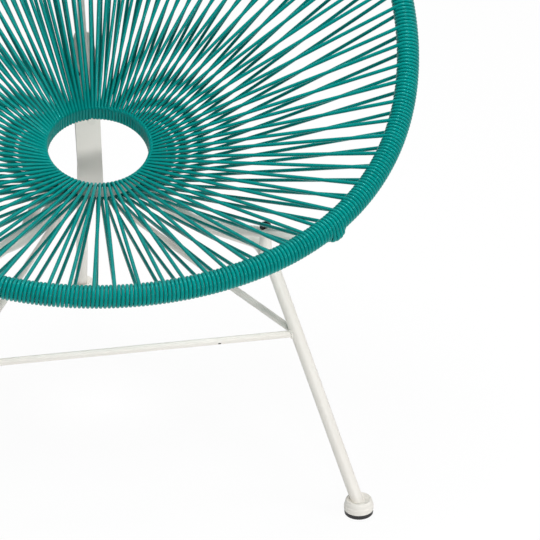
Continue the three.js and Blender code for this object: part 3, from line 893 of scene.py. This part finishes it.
def makeFasteners():
    armOver = at(*arm["path"][1])
    boltBase = legTop + bowSide * (armOver.y - legTop.y)
    boltFoot = Vector(((boltBase.x + armOver.x) / 2, armOver.y, boltBase.z))
    boltHead = Vector((boltFoot.x, boltFoot.y, armOver.z))
    spacerHeight = (boltHead.z - boltFoot.z) / mm
    for name, side in (("right", lambda p: p.copy()), ("left", mirrored)):
        label = name.capitalize()
        washerTop = boltHead + up * (arm["radius"] + saddle["rise"]) * mm
        headSeat = washerTop + up * fitting["gap"] * mm
        nutSeat = boltFoot - up * (base["radius"] + fitting["gap"] + frontNut["height"]) * mm
        grip = (headSeat.z - nutSeat.z) / mm + fitting["proud"]
        addBolt(f"frontBolt{label}", f"front_bolt_{name}", frontBolt, grip, Matrix.Translation(side(headSeat)))
        addNut(f"frontNut{label}", f"front_nut_{name}", frontNut, Matrix.Translation(side(nutSeat)))
        bore, outer, rise = saddle["bore"], saddle["outer"], saddle["rise"] + arm["radius"]
        low = rise - saddle["deep"]
        ease = saddle["ease"]
        ringProfile = [(bore, low), (bore, rise), (outer - ease, rise), (outer, rise - ease), (outer, low),
                       (bore, low)]
        washer = toMesh(f"saddleWasher{label}", spun(ringProfile, 40), Matrix.Translation(side(boltHead)))
        addPiece(f"saddleWasher{label}", washer, boltBlack, [f"saddle_washer_{name}"])
        wide, end = spacerShape["radius"], spacerShape["end"]
        spacerProfile = [(0, end), (wide, end), (wide, spacerHeight - end), (0, spacerHeight - end)]
        spacer = toMesh(f"spacer{label}", spun(spacerProfile, 36), Matrix.Translation(side(boltFoot)))
        addPiece(f"spacer{label}", spacer, frameIvory, [f"spacer_{name}"])
        rearSeatPoint = tabFront - behind * fitting["gap"] * mm + Vector((fitting["boltAcross"] * mm, 0, 0))
        stack = fitting["tabThick"] + strap["thick"] + 3 * fitting["gap"]
        bolt = standing(side(rearSeatPoint), -behind)
        grip = stack + rearNut["height"] + fitting["proud"]
        addBolt(f"rearBolt{label}", f"rear_bolt_{name}", rearBolt, grip, bolt)
        nut = standing(side(rearSeatPoint + behind * stack * mm), behind)
        addNut(f"rearNut{label}", f"rear_nut_{name}", rearNut, nut)


makeFasteners()
print("fasteners made")

# Weld beads where the tubes meet

weld = {
    "radius": 1.5,
    "ripple": 0.22,
    "pitch": 2.1,
    "steps": 72,
    "intoTube": 0.5,
    "tabStart": (4.2, 4.9, 10),  # across, behind the spine and under the bolts
    "tabRun": 20,
    "tabSteps": 40,
    "strapAcross": (-15.5, 31),
    "strapSteps": 60,
    "strapSides": ((-4.4, 7.0), (4.6, 7.2)),
}


def beadRun(points, radius):  # gives a line of points the ripples of a weld
    run, length = [], 0.0
    for i, point in enumerate(points):
        length += (point - points[i - 1]).length if i else 0
        wave = math.sin(2 * math.pi * length / (weld["pitch"] * mm))
        run.append((point, radius * mm * (1 + weld["ripple"] * wave)))
    return run


def circleRound(centre, axis, radius):
    side = axis.orthogonal().normalized()
    other = axis.cross(side)
    turns = [2 * math.pi * i / weld["steps"] for i in range(weld["steps"])]
    return [centre + (side * math.cos(turn) + other * math.sin(turn)) * radius for turn in turns]


def tubeMeetsTube(start, ahead, radius, axisPoint, axis, axisRadius):
    points = []
    for point in circleRound(start, ahead, radius):
        away = point - axisPoint
        away = away - axis * away.dot(axis)
        slope = ahead - axis * ahead.dot(axis)
        a, b, c = slope.dot(slope), 2 * away.dot(slope), away.dot(away) - axisRadius ** 2
        root = max(b * b - 4 * a * c, 0.0)
        points.append(point + ahead * ((-b + math.sqrt(root)) / (2 * a)))
    return points


def makeWelds():
    loops, lines = [], []
    legAxis = (legTop - legFoot).normalized()
    rearAxis = (rearEnd - rearFoot).normalized()
    legRadius, thin = base["radius"] * mm, base["stretcherRadius"] * mm
    for side in (lambda p: p.copy(), mirrored):
        joint, axis = side(frontJoint), side(legAxis)
        inner = side(Vector((-1, 0, 0)))
        loops.append(tubeMeetsTube(joint, inner, thin, joint, axis, legRadius))
        along = (rearEnd - joint).normalized()
        loops.append(tubeMeetsTube(joint, along, thin, joint, axis, legRadius))
        loops.append(tubeMeetsTube(rearEnd, -along, thin, rearEnd, rearAxis, legRadius))
        loops.append(circleRound(side(bowStart), side(bowSide), legRadius - weld["intoTube"] * mm))
        across, back, under = weld["tabStart"]
        start = spineAt(strap["boltHeight"] - under) + behind * back * mm + side(Vector((across * mm, 0, 0)))
        steps = weld["tabSteps"]
        lines.append([start + spineAhead * (weld["tabRun"] * mm * i / steps) for i in range(steps + 1)])
    strapBack = strapFront + behind * strap["thick"] * mm
    points = []
    for point in circleRound(rearEnd, rearAxis, legRadius):
        point = point + rearAxis * ((strapBack - point).dot(behind) / rearAxis.dot(behind))
        points.append(Vector((point.x, point.y, min(point.z, base["rearTop"] * mm))))
    loops.append(points)
    bowRear = Vector((0, bowCorners[2].y, bowCorners[2].z))
    (first, run), steps = weld["strapAcross"], weld["strapSteps"]
    for dy, dz in weld["strapSides"]:  # strap's foot on the bow
        lines.append([bowRear + Vector((first + run * i / steps, dy, dz)) * mm for i in range(steps + 1)])
    mesh = drawMesh("weldLoops", [beadRun(points, weld["radius"]) for points in loops], 10, closed=True)
    mesh.shade_smooth()
    addPiece("weldLoops", mesh, weldIvory)
    mesh = drawMesh("weldLines", [beadRun(points, weld["radius"]) for points in lines], 10)
    mesh.shade_smooth()
    addPiece("weldLines", mesh, weldIvory)


makeWelds()
print("welds made")

# Floor, background and lights

studio = {
    "floorSize": 14,
    "whiteSeen": 1.0,
    "floorWhite": 0.9,
    "floorGlow": 0.95,  # the rest of the floor's look is its own shading, with the chair's shadow
    "floorDrop": 0.0005,
    "worldLight": 0.24,
    "lamps": [
        # name, place, aims at, width, height, watts
        ("topBox", (0.1, 0.15, 3.0), (0, 0, 0.4), 1.0, 0.8, 66),
        ("frontBox", (0.3, -3.3, 1.15), (0, 0, 0.4), 0.5, 0.3, 42),
        ("rightBox", (2.6, -1.2, 1.9), (0, 0, 0.4), 0.8, 1.2, 22),
    ],
}


def makeFloor():
    build = bmesh.new()
    bmesh.ops.create_grid(build, x_segments=2, y_segments=2, size=studio["floorSize"] / 2)
    mesh = toMesh("floor", build, Matrix.Translation((0, 0, -studio["floorDrop"])))
    sheet = Sheet("floorWhite")
    sheet.finish(Base_Color=(studio["floorWhite"],) * 3 + (1,), Roughness=0.9)
    seen = whiteSeen(sheet)
    glow = sheet.add("ShaderNodeEmission", None, {"Color": (1, 1, 1, 1), "Strength": studio["whiteSeen"]})
    shaded = Value(sheet, sheet.shader.outputs[0])
    mixed = sheet.add("ShaderNodeMixShader", None, {0: seen * studio["floorGlow"], 1: shaded, 2: glow})
    sheet.links.new(mixed.socket, sheet.nodes["Material Output"].inputs["Surface"])
    mesh.materials.append(sheet.material)
    floor = bpy.data.objects.new("floor", mesh)
    bpy.context.scene.collection.objects.link(floor)


def whiteSeen(sheet):  # 1 where the camera, a mirror or glass looks straight at it
    camera = sheet.add("ShaderNodeLightPath", output="Is Camera Ray")
    mirror = sheet.add("ShaderNodeLightPath", output="Is Glossy Ray")
    glass = sheet.add("ShaderNodeLightPath", output="Is Transmission Ray")
    return sheet.maths("MINIMUM", camera + mirror + glass, 1.0)


class WorldSheet(Sheet):
    def __init__(self, world):
        world.use_nodes = True
        self.nodes = world.node_tree.nodes
        self.links = world.node_tree.links


def makeWorld():
    world = bpy.data.worlds.new("studio")
    bpy.context.scene.world = world
    sheet = WorldSheet(world)
    background = sheet.nodes["Background"]
    background.inputs["Color"].default_value = (1, 1, 1, 1)
    seen = whiteSeen(sheet)
    strength = studio["worldLight"] + (studio["whiteSeen"] - studio["worldLight"]) * seen
    sheet.links.new(strength.socket, background.inputs["Strength"])


def addLamp(name, place, aim, width, height, watts):
    data = bpy.data.lights.new(name, "AREA")
    data.shape = "RECTANGLE"
    data.size, data.size_y, data.energy = width, height, watts
    lamp = bpy.data.objects.new(name, data)
    bpy.context.scene.collection.objects.link(lamp)
    direction = Vector(aim) - Vector(place)
    turned = direction.to_track_quat("-Z", "Y").to_matrix().to_4x4()
    lamp.matrix_world = Matrix.Translation(place) @ turned


makeFloor()
makeWorld()
for lamp in studio["lamps"]:
    addLamp(*lamp)
bpy.context.scene.view_settings.view_transform = "Standard"
print("studio set")

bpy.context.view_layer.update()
